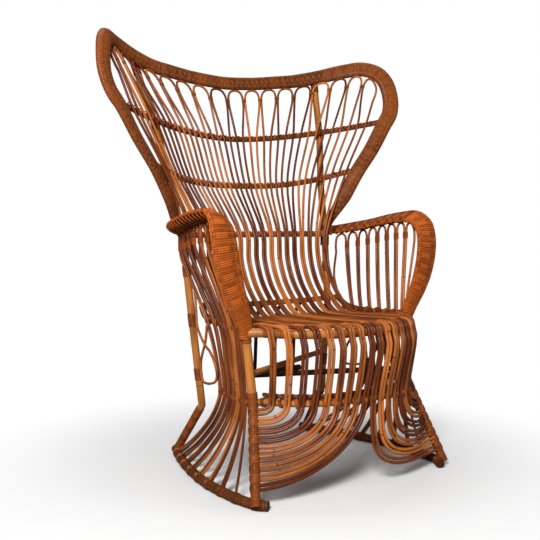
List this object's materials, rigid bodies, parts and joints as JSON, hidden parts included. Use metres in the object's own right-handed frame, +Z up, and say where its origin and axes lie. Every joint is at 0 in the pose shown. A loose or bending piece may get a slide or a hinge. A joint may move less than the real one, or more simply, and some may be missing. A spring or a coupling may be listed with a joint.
{
  "type": "peacock chair",
  "caption": "Peacock chair of bent rattan: high winged back of cane loops, wrapped arms over side loops, a seat and skirt of running canes, and bowed floor runners.",
  "frame": {"origin": "on the floor, under the middle of the chair's bounding box", "axes": "+X to the right as seen by someone who faces the chair's front, -Y the way that the sitter faces, +Z up"},
  "size_m": [0.9892, 0.6842, 1.14],
  "materials": {
    "pole": "satin",
    "cane": "gloss",
    "wrap": "satin"
  },
  "bodies": {
    "root": {"runner_right": "pole", "runner_left": "pole", "front_leg_right": "pole", "front_leg_left": "pole", "rear_post_right": "pole", "rear_post_left": "pole", "seat_side_rail_right": "pole", "seat_side_rail_left": "pole", "waist_side_rail_right": "pole", "waist_side_rail_left": "pole", "seat_front_rail": "pole", "waist_front_rail": "pole", "cross_brace_upper": "pole", "cross_brace_lower": "pole", "rear_frame": "pole", "arm_right": "wrap", "arm_left": "wrap", "hood_rim": "wrap", "back_band_upper": "cane", "back_band_middle": "cane", "back_band_arm_level": "cane", "seat_back_rail": "cane", "back_cane_01": "cane", "back_cane_02": "cane", "back_cane_03": "cane", "back_cane_04": "cane", "back_cane_05": "cane", "back_cane_06": "cane", "back_cane_07": "cane", "back_cane_08": "cane", "back_cane_09": "cane", "back_cane_10": "cane", "back_cane_11": "cane", "back_cane_12": "cane", "back_cane_13": "cane", "back_cane_14": "cane", "back_cane_15": "cane", "back_cane_16": "cane", "back_cane_17": "cane", "back_cane_18": "cane", "side_cane_1_right": "cane", "side_cane_1_left": "cane", "side_cane_2_right": "cane", "side_cane_2_left": "cane", "side_cane_3_right": "cane", "side_cane_3_left": "cane", "side_cane_4_right": "cane", "side_cane_4_left": "cane", "side_cane_5_right": "cane", "side_cane_5_left": "cane", "side_cane_6_right": "cane", "side_cane_6_left": "cane", "side_cane_7_right": "cane", "side_cane_7_left": "cane", "side_cane_8_right": "cane", "side_cane_8_left": "cane"}
  },
  "joints": []
}
